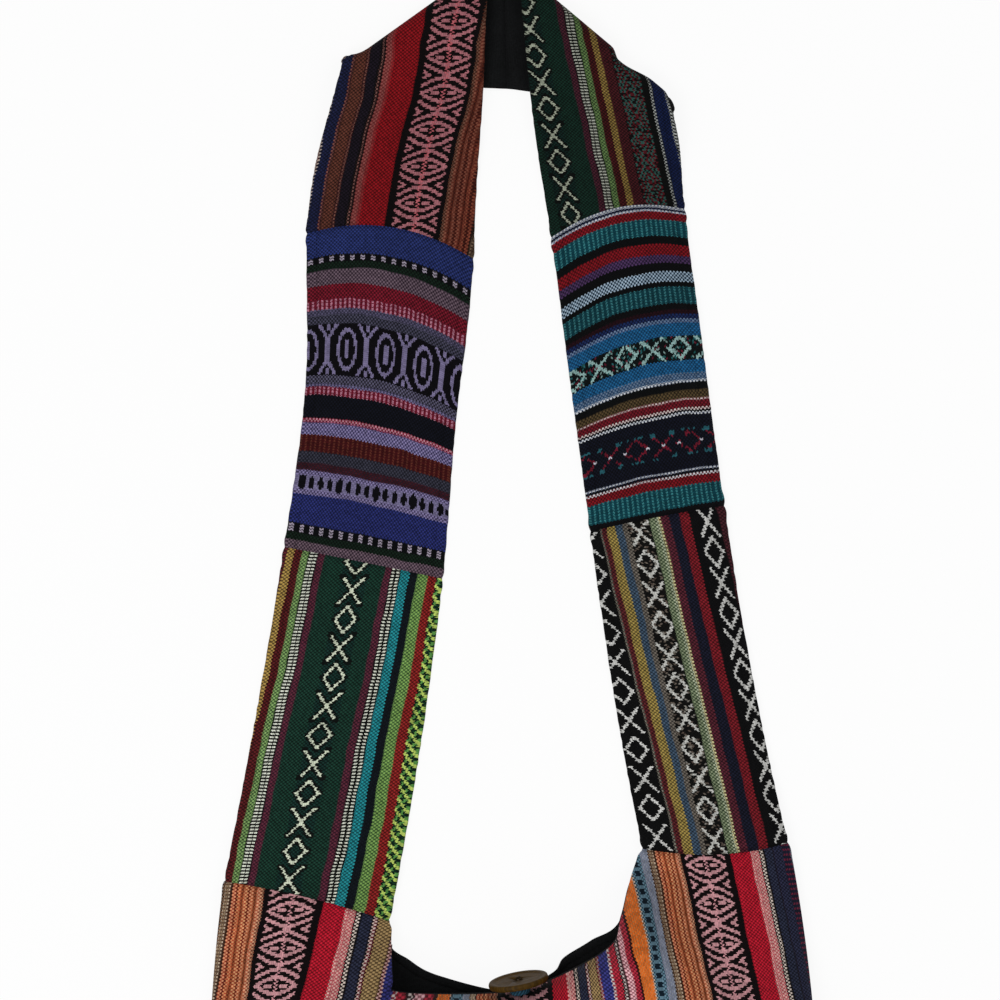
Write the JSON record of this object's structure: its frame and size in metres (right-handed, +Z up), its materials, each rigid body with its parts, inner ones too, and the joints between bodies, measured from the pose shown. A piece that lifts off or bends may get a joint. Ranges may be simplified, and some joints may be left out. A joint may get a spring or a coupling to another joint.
{
  "type": "crossbody bag",
  "caption": "Soft patchwork cotton crossbody bag with a wide flat strap, a deep curved mouth, a cloth lining and a round button with a loop, lying on its back.",
  "frame": {"origin": "centre of the bag's outline, at the surface it lies on", "axes": "+X across the bag, +Y from the body towards the top of the strap, +Z up from the surface, out of the bag's front"},
  "size_m": [0.3694, 0.9072, 0.0652],
  "materials": {
    "red_stripe_cloth": "matte",
    "green_chain_cloth": "matte",
    "purple_band_cloth": "matte",
    "teal_band_cloth": "matte",
    "black_chain_cloth": "matte",
    "black_lining": "matte",
    "button_shell": "satin",
    "dark_thread": "matte",
    "blue_cord": "matte"
  },
  "bodies": {
    "root": {"body_front_panel": "red_stripe_cloth", "body_back_panel": "red_stripe_cloth", "lining_front": "black_lining", "lining_back": "black_lining", "strap_patch_left_lower": "green_chain_cloth", "strap_patch_left_middle": "purple_band_cloth", "strap_patch_left_upper": "red_stripe_cloth", "strap_patch_right_upper": "green_chain_cloth", "strap_patch_right_middle": "teal_band_cloth", "strap_patch_right_lower": "black_chain_cloth", "strap_lining_left": "black_lining", "strap_lining_right": "black_lining", "mouth_binding_front": "black_lining", "mouth_binding_back": "black_lining", "button": "button_shell", "button_thread": "dark_thread", "button_loop": "blue_cord"}
  },
  "joints": []
}
